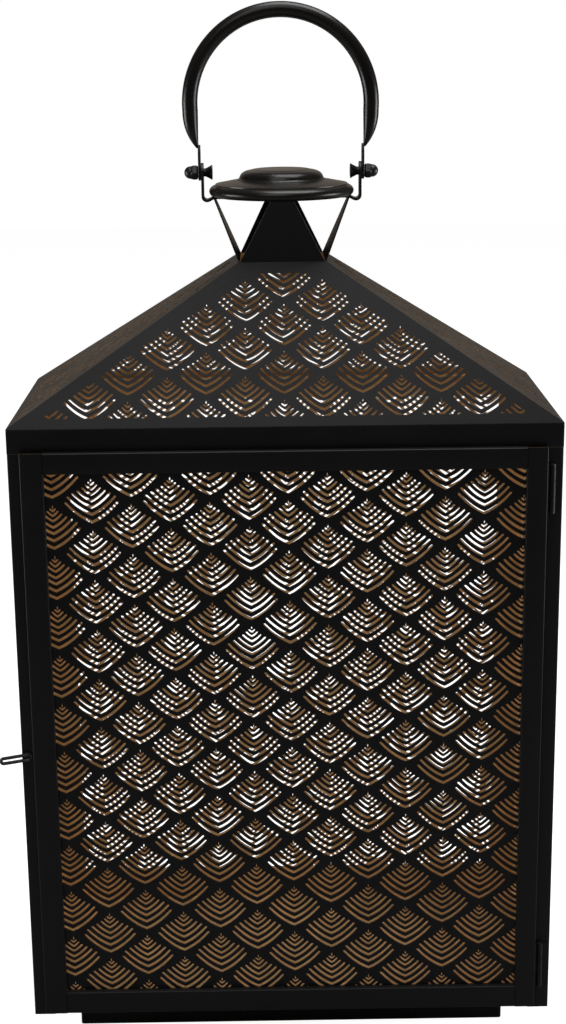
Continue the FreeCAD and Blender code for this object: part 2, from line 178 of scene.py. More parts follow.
LATCH_TILT = math.radians(9)
LATCH_REACH, LATCH_RISE = 18.0 * MM, 2.0 * MM


class LanternSizes(PropertyGroup):
    """Lengths that a user would change."""
    sheet: FloatProperty(name="Sheet", description="Thickness of the metal sheet", default=1.0 * MM,
                         unit="LENGTH")
    pitch_x: FloatProperty(name="Scale pitch across", description="Distance between two scales side by side",
                           default=56.3 * MM, unit="LENGTH")
    pitch_z: FloatProperty(name="Scale pitch up", description="Distance between two scales one above the other",
                           default=37.85 * MM, unit="LENGTH")
    slot: FloatProperty(name="Slot width", description="Width of the largest slots", default=2.2 * MM,
                        unit="LENGTH")
    throat: FloatProperty(name="Throat", description="Side of the square opening on top of the roof",
                          default=65.0 * MM, unit="LENGTH")
    grip: FloatProperty(name="Grip diameter", description="Diameter of the bail's grip", default=11.5 * MM,
                        unit="LENGTH")


class LanternColours(PropertyGroup):
    """Base colours of the finishes."""
    black: FloatVectorProperty(name="Black paint", description="Satin paint outside", subtype="COLOR",
                               size=3, default=(0.0026, 0.0026, 0.003), min=0.0, max=1.0)
    gold: FloatVectorProperty(name="Gold paint", description="Antique gold paint inside", subtype="COLOR",
                              size=3, default=(0.80, 0.565, 0.30), min=0.0, max=1.0)
    enamel: FloatVectorProperty(name="Enamel", description="Glossier black on the cap and the bail",
                                subtype="COLOR", size=3, default=(0.004, 0.0032, 0.0028), min=0.0, max=1.0)


def sizes():
    return bpy.context.scene.lantern_sizes


def colours():
    return bpy.context.scene.lantern_colours


# ---------------------------------------------------------------- shader maths
class Value:
    """A node socket that adds Math nodes when it is used in arithmetic."""

    def __init__(self, paint, socket):
        self.paint, self.socket = paint, socket

    def math(self, operation, *operands):
        return self.paint.node("ShaderNodeMath", {"operation": operation}, *operands)

    def __add__(self, other):
        return self.math("ADD", self, other)

    def __sub__(self, other):
        return self.math("SUBTRACT", self, other)

    def __rsub__(self, other):
        return self.math("SUBTRACT", other, self)

    def __mul__(self, other):
        return self.math("MULTIPLY", self, other)

    __radd__ = __add__
    __rmul__ = __mul__


class Paint:
    """One material under construction, with the Principled shader at its end."""

    def __init__(self, name):
        self.material = bpy.data.materials.new(name)
        self.material.use_nodes = True
        self.tree = self.material.node_tree
        self.tree.nodes.clear()
        self.shader = self.tree.nodes.new("ShaderNodeBsdfPrincipled")
        output = self.tree.nodes.new("ShaderNodeOutputMaterial")
        self.tree.links.new(self.shader.outputs["BSDF"], output.inputs["Surface"])
        self.coords = self.node("ShaderNodeTexCoord", {}, out="Object")

    def feed(self, socket, value):
        if isinstance(value, Value):
            self.tree.links.new(value.socket, socket)
        else:
            socket.default_value = value

    def node(self, kind, settings, *inputs, out=0, **named):
        """Adds a node: its settings first (a ramp's stops among them), then its inputs."""
        made = self.tree.nodes.new(kind)
        for key, value in settings.items():
            if key == "stops":
                ramp = made.color_ramp.elements
                while len(ramp) < len(value):
                    ramp.new(0.5)
                for element, (place, colour) in zip(ramp, value):
                    element.position, element.color = place, colour
            else:
                setattr(made, key, value)
        for socket, value in zip(made.inputs, inputs):
            self.feed(socket, value)
        for key, value in named.items():
            self.feed(made.inputs[key.replace("_", " ")], value)
        return Value(self, made.outputs[out])

    def noise(self, scale, detail=3.0, roughness=0.5):
        return self.node("ShaderNodeTexNoise", {}, out="Fac", Vector=self.coords, Scale=scale, Detail=detail,
                         Roughness=roughness)

    def remap(self, value, low, high, to_low, to_high):
        return self.node("ShaderNodeMapRange", {}, value, low, high, to_low, to_high)

    def mix(self, factor, first, second):
        made = self.node("ShaderNodeMix", {"data_type": "RGBA"}, out=2)
        inputs = made.socket.node.inputs
        for socket, value in ((inputs[0], factor), (inputs[6], first), (inputs[7], second)):
            self.feed(socket, value)
        return made

    def bump(self, height, strength, distance, normal=None):
        made = self.node("ShaderNodeBump", {}, Height=height, Strength=strength, Distance=distance)
        if normal is not None:
            self.feed(made.socket.node.inputs["Normal"], normal)
        return made

    def set(self, **values):
        for key, value in values.items():
            self.feed(self.shader.inputs[key.replace("_", " ")], value)
        return self.material


def rgba(colour, gain=1.0):
    return (*(min(1.0, c * gain) for c in colour), 1.0)


FINISHES = {}


def finish(name):
    """Materials are made once and shared."""
    if name not in FINISHES:
        FINISHES[name] = globals()["paint_" + name](name)
    return FINISHES[name]


def sprayed(name, colour, roughness, specular, tooth=1.0):
    """Sprayed paint: orange-peel bump, cloudy gloss, slight tone drift and a trace of dust on upper faces."""
    paint = Paint(name)
    cloud = paint.noise(14.0, 4.0, 0.6)
    peel = paint.noise(620.0, 2.0, 0.5)
    grit = paint.noise(2600.0, 1.0, 0.5)
    tone = paint.mix(cloud, rgba(colour, 0.75), rgba(colour, 1.45))
    up = paint.node("ShaderNodeSeparateXYZ", {}, paint.node("ShaderNodeTexCoord", {}, out="Normal"), out="Z")
    speck = paint.remap(paint.noise(900.0, 2.0, 0.6), 0.62, 0.72, 0.0, 1.0)
    dust = paint.remap(up, 0.3, 1.0, 0.0, 0.05) * (speck * 0.7 + 0.3)
    tone = paint.mix(dust, tone, (0.32, 0.30, 0.27, 1.0))
    gloss = paint.remap(cloud, 0.3, 0.7, roughness - 0.05, roughness + 0.06) + (grit - 0.5) * 0.06
    normal = paint.bump(peel, 0.10 * tooth, 0.0003)
    normal = paint.bump(grit, 0.06 * tooth, 0.0001, normal)
    return paint.set(Base_Color=tone, Roughness=gloss, Normal=normal, Specular_IOR_Level=specular)


def paint_satin_black(name):
    return sprayed(name, colours().black, 0.44, 0.16)


def paint_enamel_black(name):
    return sprayed(name, colours().enamel, 0.27, 0.22, 0.6)


def paint_fastener_black(name):
    return sprayed(name, colours().black, 0.34, 0.3, 0.8)


def paint_wire_black(name):
    """Black wire, rubbed to grey metal in patches where fingers pull it."""
    paint = Paint(name)
    rub = paint.remap(paint.noise(180.0, 4.0, 0.6), 0.5, 0.72, 0.0, 1.0)
    tone = paint.mix(rub, rgba(colours().black), (0.09, 0.085, 0.08, 1.0))
    normal = paint.bump(paint.noise(1500.0), 0.1, 0.0002)
    return paint.set(Base_Color=tone, Roughness=0.42 - rub * 0.1, Metallic=rub * 0.6, Normal=normal)


def paint_antique_gold(name):
    """Gold paint gone brown in clouds, with fine metal flake."""
    paint = Paint(name)
    gold = colours().gold
    cloud = paint.noise(22.0, 5.0, 0.65)
    flake = paint.noise(2200.0, 1.0, 0.5)
    stain = paint.remap(paint.noise(70.0, 4.0, 0.6), 0.35, 0.7, 0.0, 1.0)
    tone = paint.mix(paint.remap(cloud, 0.3, 0.7, 0.0, 1.0), rgba(gold, 0.78), rgba(gold, 1.18))
    tone = paint.mix(stain * 0.35, tone, (gold[0] * 0.5, gold[1] * 0.42, gold[2] * 0.35, 1.0))
    tone = paint.mix(paint.remap(flake, 0.55, 0.75, 0.0, 0.4), tone, rgba(gold, 1.6))
    normal = paint.bump(flake, 0.12, 0.0002)
    gloss = paint.remap(cloud, 0.3, 0.7, 0.42, 0.56)
    return paint.set(Base_Color=tone, Roughness=gloss, Metallic=0.2, Normal=normal, Specular_IOR_Level=0.3)


def paint_slot_edge(name):
    """Cut edge of the slots, where black and gold sprays have met and gone brown."""
    paint = Paint(name)
    patch = paint.noise(260.0, 3.0, 0.6)
    tone = paint.mix(paint.remap(patch, 0.35, 0.65, 0.0, 1.0), (0.030, 0.020, 0.012, 1.0),
                     (0.16, 0.10, 0.052, 1.0))
    normal = paint.bump(paint.noise(1800.0), 0.1, 0.0001)
    return paint.set(Base_Color=tone, Roughness=0.55 - patch * 0.1, Normal=normal, Specular_IOR_Level=0.3)


# ---------------------------------------------------------------- meshes
def mesh_piece(name, points, faces, body, slot, *materials, replaces=(), smooth=None):
    """A mesh object at the origin that rides on its body; smooth is the angle under which edges are soft."""
    mesh = bpy.data.meshes.new(name)
    mesh.from_pydata(np.asarray(points, float).reshape(-1, 3).tolist(), [], faces)
    mesh.validate()
    return settle(linked(name, mesh), body, slot, materials, replaces, smooth)


def linked(name, data):
    """A new object in the scene, made of the given mesh, lamp or camera."""
    made = bpy.data.objects.new(name, data)
    bpy.context.scene.collection.objects.link(made)
    return made


def settle(piece, body, slot, materials, replaces=(), smooth=None):
    """Gives a piece its materials and shading, and its place in the frame."""
    for material in materials:
        piece.data.materials.append(material)
    if smooth is not None:
        piece.data.shade_smooth()
        piece.data.set_sharp_from_angle(angle=math.radians(smooth))
    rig.ride(piece, body)
    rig.slot(piece, slot)
    if replaces:
        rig.replaces(piece, *replaces)
    return piece


def shell(points, rings, count):
    """Closed shell on rings of points: quads between one ring and the next, and a face across each end."""
    ring, place = np.meshgrid(np.arange(rings - 1), np.arange(count), indexing="ij")
    here, beside = ring * count + place, ring * count + (place + 1) % count
    quads = np.stack([here, beside, beside + count, here + count], -1).reshape(-1, 4)
    last = (rings - 1) * count
    ends = [list(range(count))[::-1], list(range(last, last + count))]
    return points, outward(points, quads.tolist() + ends)


def outward(points, faces):
    """Turns all faces round if the closed shell's signed volume is negative."""
    points = np.asarray(points, float).reshape(-1, 3)
    volume = 0.0
    for face in faces:
        a, b, c = points[face[0]], points[face[1:-1]], points[face[2:]]
        volume += float(np.einsum("ij,ij->", np.broadcast_to(a, b.shape), np.cross(b, c)))
    return faces if volume > 0 else [face[::-1] for face in faces]


def rounded(corners, radii, steps=4):
    """Closed outline with each corner replaced by an arc of its radius.

    The arc's centre lies on the corner's bisector, its ends at radius / tan(half the angle) from the corner.
    """
    corners = np.asarray(corners, float)
    outline = []
    for here, before, after, radius in zip(corners, np.roll(corners, 1, 0), np.roll(corners, -1, 0), radii):
        if radius <= 0:
            outline.append(here[None])
            continue
        a, b = before - here, after - here
        a, b = a / np.linalg.norm(a), b / np.linalg.norm(b)
        half = math.acos(np.clip(a @ b, -1, 1)) / 2
        centre = here + (a + b) / np.linalg.norm(a + b) * radius / math.sin(half)
        start, end = here + a * radius / math.tan(half) - centre, here + b * radius / math.tan(half) - centre
        sweep = math.pi - 2 * half
        t = np.linspace(0, 1, steps + 1)[:, None]
        arc = (np.sin((1 - t) * sweep) * start + np.sin(t * sweep) * end) / math.sin(sweep)
        outline.append(centre + arc)
    return np.concatenate(outline)


def prism(outline, start, along, across, up):
    """Outline carried in a straight line: point = start + x * across + y * up, then + along at the far end."""
    outline, start = np.asarray(outline, float), np.asarray(start, float)
    near = start + outline[:, :1] * np.asarray(across, float) + outline[:, 1:] * np.asarray(up, float)
    points = np.concatenate([near, near + np.asarray(along, float)])
    return shell(points, 2, len(outline))


def lathe(profile, segments, axis="z", limit=None):
    """Profile (r, h) turned about an axis: (r cos a, r sin a, h); r stays under limit(a), which makes flats."""
    profile = np.asarray(profile, float)
    a = np.linspace(0, 2 * np.pi, segments, endpoint=False)[None]
    r, h = profile[:, :1], np.broadcast_to(profile[:, 1:], (len(profile), segments))
    if limit is not None:
        r = np.minimum(r, limit(a))
    x, y = r * np.cos(a), r * np.sin(a)
    order = (x, y, h) if axis == "z" else (h, x, y)
    return shell(np.stack(order, -1).reshape(-1, 3), len(profile), segments)


def tube(path, radii, segments):
    """Circle carried along a path in the XZ plane: centre + r cos a * in-plane normal + r sin a * Y."""
    radii = np.asarray(radii, float)[:, None, None]
    tangent = np.gradient(path, axis=0)
    tangent /= np.linalg.norm(tangent, axis=1)[:, None]
    normal = np.stack([tangent[:, 2], tangent[:, 1] * 0, -tangent[:, 0]], -1)
    a = np.linspace(0, 2 * np.pi, segments, endpoint=False)[None, :, None]
    ring = np.cos(a) * normal[:, None] + np.sin(a) * np.array([0.0, 1.0, 0.0])
    return shell((path[:, None] + radii * ring).reshape(-1, 3), len(path), segments)


def bevelled(piece, width):
    """Softens every edge sharper than 30 degrees."""
    bevel = piece.modifiers.new("soft edges", "BEVEL")
    bevel.width, bevel.segments = width, 2
    bevel.limit_method, bevel.angle_limit = "ANGLE", math.radians(30)


def rectangle(u0, u1, v0, v1):
    return [(u0, v0), (u1, v0), (u1, v1), (u0, v1)]


def within(point, region):
    """True if the point is on the inner side of every edge of a region drawn anticlockwise."""
    for a, b in zip(region, np.roll(region, -1, 0)):
        if (b[0] - a[0]) * (point.y - a[1]) - (b[1] - a[1]) * (point.x - a[0]) < 0:
            return False
    return True


def inset(outline, margins):
    """Convex outline moved inwards, each edge by its own margin: corners are where the moved edges meet."""
    outline = np.asarray(outline, float)
    edges = np.roll(outline, -1, 0) - outline
    normals = np.stack([-edges[:, 1], edges[:, 0]], -1) / np.linalg.norm(edges, axis=1)[:, None]
    offsets = np.einsum("ij,ij->i", normals, outline) + np.asarray(margins)
    corners = []
    for k in range(len(outline)):
        pair = np.array([normals[k - 1], normals[k]])
        corners.append(np.linalg.solve(pair, (offsets[k - 1], offsets[k])))
    return np.array(corners)


def arc_points(points, steps=6):
    """Smooth curve through the points: uniform Catmull-Rom cubic between each two of them."""
    p = np.asarray(points, float)
    padded = np.concatenate([[2 * p[0] - p[1]], p, [2 * p[-1] - p[-2]]])
    t = np.linspace(0, 1, steps, endpoint=False)[None, :, None]
    a, b, c, d = (padded[k:len(padded) - 3 + k, None] for k in range(4))
    curve = 0.5 * (2 * b + (c - a) * t + (2 * a - 5 * b + 4 * c - d) * t ** 2
                   + (3 * b - a - 3 * c + d) * t ** 3)
    return np.concatenate([curve.reshape(-1, p.shape[1]), p[-1:]])


def path_normals(path):
    """Unit normals of a flat path: its tangents turned by a right angle."""
    tangent = np.gradient(path, axis=0)
    tangent /= np.linalg.norm(tangent, axis=1)[:, None]
    return np.stack([-tangent[:, 1], tangent[:, 0]], -1)


# ---------------------------------------------------------------- perforated sheets
# Seven chevron slots of one fish scale, in mm below its apex: tip depth, half width, depth of the two ends
CHEVRONS = ((5.4, 2.4, 3.2), (9.0, 4.4, 5.0), (12.9, 6.9, 7.3), (17.7, 10.3, 9.5), (22.4, 14.0, 11.5),
            (27.7, 17.6, 14.0), (33.3, 19.4, 18.2))
SCALE_CENTRE = 16.9     # depth of the rhombic cell's centre below the apex
FLANK_START = 0.5       # share of a flank's mean slope that it has at the tip


def chevron(tip, half, end, width):
    """Closed outline of one slot.

    Lower edge: depth = tip - (tip - end) * (b s + (1 - b) s^2), s from 0 at the tip to 1 at an end.
    Upper edge: the lower one moved along its normal by the width, which narrows towards the ends.
    """
    steps = 5 if half > 9 else 3
    s = np.linspace(-1, 1, 2 * steps + 1)
    b = FLANK_START
    rise = tip - end
    lower = np.stack([s * half, -tip + rise * (b * np.abs(s) + (1 - b) * s * s)], -1)
    slope = np.sign(s) * rise / half * (b + 2 * (1 - b) * np.abs(s))
    normal = np.stack([-slope, np.ones_like(s)], -1) / np.sqrt(1 + slope * slope)[:, None]
    normal[steps] = (0.0, math.hypot(1.0, rise / half * b))
    upper = lower + normal * (width * (1 - 0.25 * s * s))[:, None]
    along = np.array([normal[-1][1], -normal[-1][0]]) * 0.45 * width * 0.75
    right = (lower[-1] + upper[-1]) / 2 + along
    left = right * (-1, 1)
    return np.concatenate([lower, right[None], upper[::-1], left[None]])


def scale_cell():
    """One rhombic cell as triangles: (points in mm, triangles, True where a triangle lies in a slot)."""
    half_x, half_z = sizes().pitch_x / MM / 2, sizes().pitch_z / MM / 2
    width = sizes().slot / MM
    outlines = [np.array([(0.0, 0.2), (-0.55, -1.6), (0.0, -3.1), (0.55, -1.6)])]
    for number, (tip, half, end) in enumerate(CHEVRONS):
        outlines.append(chevron(tip, half, end, width * min(1.0, 0.72 + 0.07 * number)))
    cell = np.array([(0, half_z), (-half_x, 0), (0, -half_z), (half_x, 0)]) - (0, SCALE_CENTRE)
    outlines.append(cell)
    points, loops = [], []
    for outline in outlines:
        loops.append(list(range(len(points), len(points) + len(outline))))
        points += [Vector(p) for p in outline]
    made = delaunay_2d_cdt(points, [], loops, 1, 1e-4)
    triangles = np.array(made[2])
    in_slot = np.array([min(owners) < len(CHEVRONS) + 1 for owners in made[5]])
    return np.array([tuple(p) for p in made[0]]), triangles, in_slot


def repeated(outline, pressing):
    """The rhombic cell repeated over an outline: a flat mesh, with its slots marked by material 1.

    Pressing gives the apex of one scale on the sheet, and the matrix that draws the pattern out and leans it.
    Columns are half a pitch apart, and every other one is half a pitch higher.
    """
    cell, triangles, in_slot = scale_cell()
    pitch_x, pitch_z = sizes().pitch_x, sizes().pitch_z
    apex, draw = pressing
    # Cells from the apex to each side of the outline, and a few more, as the pattern may lean
    left, low = (outline.min(0) - apex) / (pitch_x / 2, pitch_z)
    right, high = (outline.max(0) - apex) / (pitch_x / 2, pitch_z)
    columns = np.arange(math.floor(left) - 2, math.ceil(right) + 3)
    rows = np.arange(math.floor(low) - 2, math.ceil(high) + 4)
    column, row = (grid.ravel() for grid in np.meshgrid(columns, rows))
    shift = np.stack([column * pitch_x / 2, row * pitch_z + (column % 2) * pitch_z / 2], -1)
    flat = (cell[None] * MM + shift[:, None]).reshape(-1, 2) @ np.array(draw).T + apex
    faces = (triangles[None] + (np.arange(len(shift)) * len(cell))[:, None, None]).reshape(-1, 3)
    mesh = bpy.data.meshes.new("sheet")
    mesh.from_pydata(np.column_stack([flat, np.zeros(len(flat))]).tolist(), [], faces.tolist())
    mesh.polygons.foreach_set("material_index", np.tile(in_slot, len(shift)).astype(np.int32))
    return mesh


def pierce(mesh, outline, window):
    """Cuts the flat mesh to its outline and along its window, and takes out the slots inside the window."""
    work = bmesh.new()
    work.from_mesh(mesh)
    bmesh.ops.remove_doubles(work, verts=work.verts, dist=2e-6)
    for region, cut_away in ((outline, True), (window, False)):
        for a, b in zip(region, np.roll(region, -1, 0)):
            side = Vector((b[1] - a[1], a[0] - b[0], 0)).normalized()
            everything = work.verts[:] + work.edges[:] + work.faces[:]
            bmesh.ops.bisect_plane(work, geom=everything, dist=1e-7, plane_co=(a[0], a[1], 0), plane_no=side,
                                   clear_outer=cut_away)
    slots = [face for face in work.faces
             if face.material_index == 1 and within(face.calc_center_median(), window)]
    bmesh.ops.delete(work, geom=slots, context="FACES")
    for face in work.faces:
        face.material_index = 0
    work.to_mesh(mesh)
    work.free()


def sheet_piece(name, body, outline, window, pressing, origin, across, up, replaces):
    """Perforated sheet: black on its face, gold behind, brown where the slots are cut.

    A point (u, v) of the flat sheet goes to origin + u * across + v * up; metal lies behind that face.
    """
    outline, window = np.asarray(outline, float), np.asarray(window, float)
    mesh = repeated(outline, pressing)
    mesh.name = name
    pierce(mesh, outline, window)
    flat = np.empty(len(mesh.vertices) * 3, np.float32)
    mesh.vertices.foreach_get("co", flat)
    flat = flat.reshape(-1, 3).astype(float)
    placed = np.asarray(origin, float) + flat[:, :1] * np.asarray(across) + flat[:, 1:2] * np.asarray(up)
    mesh.vertices.foreach_set("co", placed.astype(np.float32).ravel())
    mesh.update()
    piece = linked(name, mesh)
    solid = piece.modifiers.new("thickness", "SOLIDIFY")
    solid.thickness, solid.offset = sizes().sheet, -1.0
    solid.material_offset, solid.material_offset_rim = 1, 2
    return settle(piece, body, "two_tone_sheet",
                  (finish("satin_black"), finish("antique_gold"), finish("slot_edge")), replaces)


# Where the pattern lies on each sheet (an apex, across from the middle and up), and how it is drawn and leant
DOOR_PRESSING = ((2.4 * MM, 249.3 * MM), ((1.0085, -0.004), (0.011, 1.008)))
BACK_PRESSING = ((0.85 * MM, 262.6 * MM), ((0.981, -0.018), (0.0125, 0.979)))
SIDE_PRESSING = ((0.0, 249.3 * MM), ((1.0, 0.0), (0.0, 1.0)))
ROOF_PRESSING = ((0.1 * MM, 57.5 * MM), ((1.001, 0.008), (-0.003, 0.989)))


class LANTERN_OT_sheets(Operator):
    """Perforated sheets of the back, the sides and the door"""
    bl_idname = "lantern.sheets"
    bl_label = "Perforated sheets"

    def execute(self, context):
        x, z = (1, 0, 0), (0, 0, 1)
        stile_l, stile_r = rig.box("door_stile_left")[1].x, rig.box("door_stile_right")[0].x
        rail_b, rail_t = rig.box("door_rail_bottom")[1].z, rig.box("door_rail_top")[0].z
        t = sizes().sheet
        sheet_piece("door_sheet", "door",
                    rectangle(DOOR_LOW.x + t, DOOR_HIGH.x - t, DOOR_LOW.z + t, DOOR_HIGH.z - t),
                    rectangle(stile_l, stile_r, rail_b, rail_t), DOOR_PRESSING, (0, DOOR_LOW.y, 0), x, z,
                    ["door_panel"])
        low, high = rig.box("back_panel")
        bottom, top = low.z + WINDOW_FOOT, high.z - WINDOW_MARGIN
        sheet_piece("back_sheet", "body", rectangle(low.x, high.x, low.z, high.z),
                    rectangle(low.x + BACK_MARGIN, high.x - BACK_MARGIN, bottom, top),
                    BACK_PRESSING, (0, high.y, 0), (-1, 0, 0), z, ["back_panel"])
        for name, side in (("left", -1), ("right", 1)):
            low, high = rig.box("side_panel_" + name)
            outer = low.x if side < 0 else high.x
            sheet_piece("side_sheet_" + name, "body", rectangle(low.y, high.y, low.z, high.z),
                        rectangle(low.y + WINDOW_MARGIN, high.y - WINDOW_MARGIN,
                                  low.z + WINDOW_FOOT, high.z - WINDOW_MARGIN),
                        SIDE_PRESSING, (outer, 0, 0), (0, side, 0), z, ["side_panel_" + name])
        return {"FINISHED"}


class LANTERN_OT_roof(Operator):
    """Four perforated slopes of the hipped roof"""
    bl_idname = "lantern.roof"
    bl_label = "Roof"

    def execute(self, context):
        throat = sizes().throat / 2
        rise = Z_THROAT - Z_EAVES
        for name, out, along, eave, half in (("front", (0, -1), (1, 0), HALF_D, HALF_W),
                                             ("back", (0, 1), (-1, 0), HALF_D, HALF_W),
                                             ("left", (-1, 0), (0, -1), HALF_W, HALF_D),
                                             ("right", (1, 0), (0, 1), HALF_W, HALF_D)):
            run = eave - throat
            slope = math.hypot(run, rise)
            outline = [(-half, 0), (half, 0), (throat, slope), (-throat, slope)]
            up = (-out[0] * run / slope, -out[1] * run / slope, rise / slope)
            origin = (out[0] * eave, out[1] * eave, Z_EAVES)
            sheet_piece("roof_sheet_" + name, "body", outline, inset(outline, ROOF_MARGINS), ROOF_PRESSING,
                        origin, (*along, 0), up, ["roof_panel_" + name])
        return {"FINISHED"}


# ---------------------------------------------------------------- frame of the body
def folded_angle(leg_a, leg_b):
    """Outline of an angle section, its outer fold rounded."""
    t = sizes().sheet
    corners = [(0, 0), (leg_a, 0), (leg_a, t), (t, t), (t, leg_b), (0, leg_b)]
    return rounded(corners, [FOLD, t * 0.3, t * 0.3, 0, t * 0.3, t * 0.3])


def angle_piece(name, node, shape, axes):
    """Post or rail, gold where it lies a sheet's depth inside the body's outer faces along all the axes."""
    piece = mesh_piece(name, *shape, "body", "black_paint", finish("satin_black"), finish("antique_gold"),
                       replaces=[node], smooth=SOFT_EDGE)
    centres = np.array([tuple(face.center) for face in piece.data.polygons])
    depth = np.array((HALF_W, HALF_D)) - np.abs(centres[:, :2])
    inner = (depth[:, axes] > 0.7 * sizes().sheet).all(axis=1)
    piece.data.polygons.foreach_set("material_index", inner.astype(np.int32))


class LANTERN_OT_body(Operator):
    """Corner posts, top rails and plinth"""
    bl_idname = "lantern.body"
    bl_label = "Body frame"

    def execute(self, context):
        ends, sides = (("front", -1), ("back", 1)), (("left", -1), ("right", 1))
        for end, sy in ends:
            for side, sx in sides:
                node = f"corner_post_{end}_{side}"
                low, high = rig.box(node)
                shape = prism(folded_angle(high.x - low.x, high.y - low.y), (sx * HALF_W, sy * HALF_D, low.z),
                              (0, 0, high.z - low.z), (-sx, 0, 0), (0, -sy, 0))
                angle_piece(f"post_{end}_{side}", node, shape, [0, 1])
            node = "top_rail_" + end
            low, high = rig.box(node)
            shape = prism(folded_angle(high.z - low.z, high.y - low.y), (low.x, sy * HALF_D, high.z),
                          (high.x - low.x, 0, 0), (0, 0, -1), (0, -sy, 0))
            angle_piece("rail_" + end, node, shape, [1])
        for side, sx in sides:
            node = "top_rail_" + side
            low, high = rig.box(node)
            shape = prism(folded_angle(high.z - low.z, sizes().sheet * 2), (sx * HALF_W, low.y, high.z),
                          (0, high.y - low.y, 0), (0, 0, -1), (-sx, 0, 0))
            angle_piece("rail_" + side, node, shape, [0])
        low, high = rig.box("plinth")
        shape = prism(rounded(rectangle(low.x, high.x, low.y, high.y), [2 * MM] * 4), (0, 0, low.z),
                      (0, 0, high.z - low.z), (1, 0, 0), (0, 1, 0))
        bevelled(mesh_piece("plinth_box", *shape, "body", "black_paint", finish("satin_black"),
                            replaces=["plinth"], smooth=SOFT_EDGE), 0.6 * MM)
        return {"FINISHED"}


class LANTERN_OT_door(Operator):
    """Folded channels of the door frame"""
    bl_idname = "lantern.door"
    bl_label = "Door frame"

    def execute(self, context):
        black = finish("satin_black")
        t = sizes().sheet
        for node, upright in (("door_stile_left", True), ("door_stile_right", True), ("door_rail_top", False),
                              ("door_rail_bottom", False)):
            low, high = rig.box(node)
            wide = high.x - low.x if upright else high.z - low.z
            deep = high.y - low.y
            # The leg at the door's outer edge also covers the edge of the sheet
            near, far = deep, deep + t
            if node in ("door_stile_left", "door_rail_bottom"):
                near, far = far, near
            corners = [(0, 0), (wide, 0), (wide, far), (wide - t, far),
                       (wide - t, t), (t, t), (t, near), (0, near)]
            section = rounded(corners, [FOLD, FOLD, t * 0.3, t * 0.3, 0, 0, t * 0.3, t * 0.3])
            length, across = (high.x - low.x, 0, 0), (0, 0, 1)
            if upright:
                length, across = (0, 0, high.z - low.z), (1, 0, 0)
            shape = prism(section, tuple(low), length, across, (0, 1, 0))
            mesh_piece(node + "_channel", *shape, "door", "black_paint", black,
                       replaces=[node], smooth=SOFT_EDGE)
        return {"FINISHED"}


# ---------------------------------------------------------------- neck and cap
class LANTERN_OT_neck(Operator):
    """Four splayed plates between the roof and the cap"""
    bl_idname = "lantern.neck"
    bl_label = "Neck"

    def execute(self, context):
        black = finish("satin_black")
        sheet = sizes().sheet
        for name, out in (("front", (0, -1)), ("back", (0, 1)), ("left", (-1, 0)), ("right", (1, 0))):
            low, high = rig.box("neck_plate_" + name)
            size = high - low
            base = (size.x if out[1] else size.y) / 2
            splay = (size.y if out[1] else size.x) - 0.91 * sheet
            length = math.hypot(splay, size.z)
            corners = [(-base, -NECK_CORNER), (base, -NECK_CORNER),
                       (NECK_TOP / 2, length), (-NECK_TOP / 2, length)]
            section = rounded(corners, [NECK_CORNER] * 4, 2)
            up = (out[0] * splay / length, out[1] * splay / length, size.z / length)
            across = (abs(out[1]), abs(out[0]), 0)
            inward = np.array([-out[0] * size.z, -out[1] * size.z, splay]) / length * sheet
            throat = sizes().throat / 2
            shape = prism(section, (out[0] * throat, out[1] * throat, low.z), inward, across, up)
            bevelled(mesh_piece("neck_" + name, *shape, "body", "two_tone_sheet", black,
                                replaces=["neck_plate_" + name], smooth=SOFT_EDGE), 0.25 * MM)
        return {"FINISHED"}


class LANTERN_OT_cap(Operator):
    """Spun dish with a rolled rim, and the pressed button on it"""
    bl_idname = "lantern.cap"
    bl_label = "Cap"

    def execute(self, context):
        enamel = finish("enamel_black")
        low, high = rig.box("cap_disc")
        rim, height = high.x / MM, (high.z - low.z) / MM
        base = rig.box("cap_base")[1].x / MM
        top = arc_points([(base, 0), (51.2, 0.1), (52.9, 1.3), (rim, 3.4), (53.3, 5.3), (52.0, 6.8),
                          (49.4, 8.2), (45.6, 9.4), (40, 10.6), (34, height - 0.3), (28, height), (0.4, height)])
        profile = np.concatenate([top, [(0.4, height - 1.2), (base, height - 3), (base, 0.4)]]) * MM
        mesh_piece("cap_dish", *lathe(profile + (0, low.z), 128), "body", "cap_black", enamel,
                   replaces=["cap_disc"], smooth=40)
        low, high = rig.box("cap_dome")
        foot, tall = high.x / MM, (high.z - low.z) / MM
        profile = arc_points([(foot, 0), (foot - 0.7, 0.45), (foot - 1.5, 1.5), (foot - 2.2, 3.1),
                              (foot - 3.6, 4.8), (foot - 6.2, 6.2), (foot - 9.6, 6.95), (foot - 14, tall),
                              (10, tall), (0.3, tall)])
        profile[:, 1] = np.minimum(profile[:, 1], tall)
        mesh_piece("cap_button", *lathe(profile * MM + (0, low.z), 128), "body", "cap_black", enamel,
                   replaces=["cap_dome"], smooth=40)
        return {"FINISHED"}


